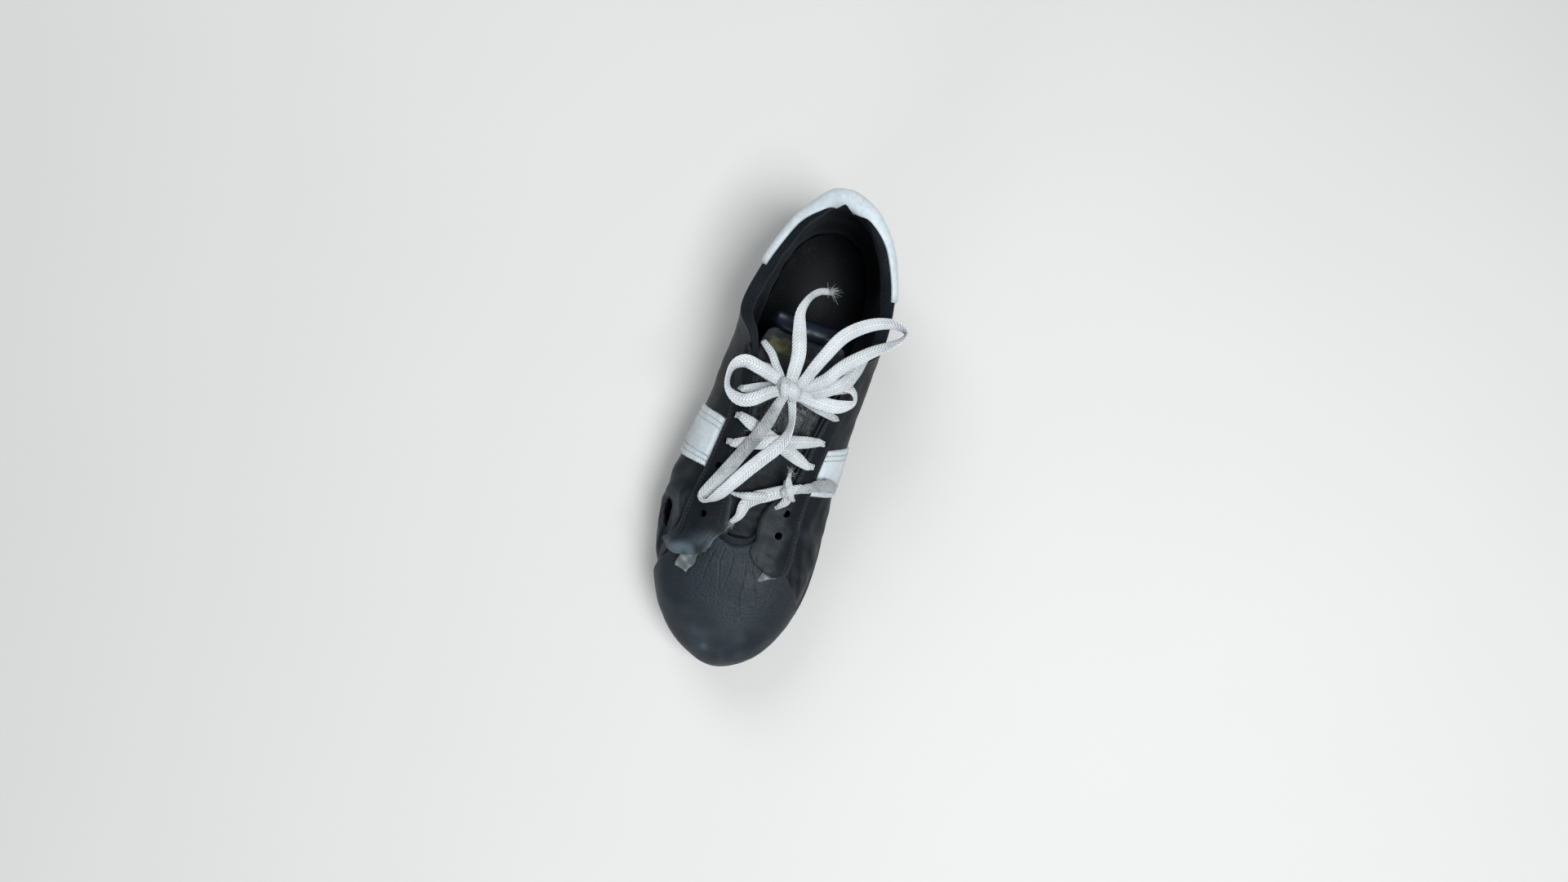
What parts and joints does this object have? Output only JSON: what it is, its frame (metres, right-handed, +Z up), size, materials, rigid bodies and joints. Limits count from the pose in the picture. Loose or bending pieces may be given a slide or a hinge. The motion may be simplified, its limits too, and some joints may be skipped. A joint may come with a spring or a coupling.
{
  "type": "worn out sneaker",
  "caption": "Worn black leather low-top sneaker for the right foot: hollow upper on a rubber cup sole, toe cap, loose lace stays, white heel tab and a tied flat lace.",
  "frame": {"origin": "middle of the shoe's length and width, on the floor under the sole", "axes": "+X from heel to toe, +Y to the inner side of the foot, +Z up"},
  "size_m": [0.284, 0.1089, 0.0896],
  "materials": {
    "black_rubber": "matt, scuffed",
    "black_leather": "creased, half gloss",
    "cap_leather": "pebbled, rubbed",
    "white_leather": "half gloss, dirty",
    "black_lining": "matt textile",
    "tongue_cloth": "frayed textile",
    "white_lace": "woven, dirty"
  },
  "bodies": {
    "root": {"cup_sole": "black_rubber", "insole": "black_lining", "upper": "black_leather", "tongue": "tongue_cloth", "toe_cap": "cap_leather", "eyestay_lateral": "black_leather", "eyestay_medial": "black_leather", "heel_tab": "white_leather", "side_band_lateral": "white_leather", "side_band_medial": "white_leather", "lace_crossing_rear": "white_lace", "lace_crossing_front": "white_lace", "lace_knot": "white_lace", "lace_knot_front": "white_lace", "lace_end_rear": "white_lace", "lace_loop_medial_long": "white_lace", "lace_loop_medial_short": "white_lace", "lace_loop_lateral": "white_lace", "lace_strand_outer": "white_lace", "lace_strand_inner": "white_lace", "lace_broken_outer": "white_lace", "lace_broken_inner": "white_lace"}
  },
  "joints": []
}
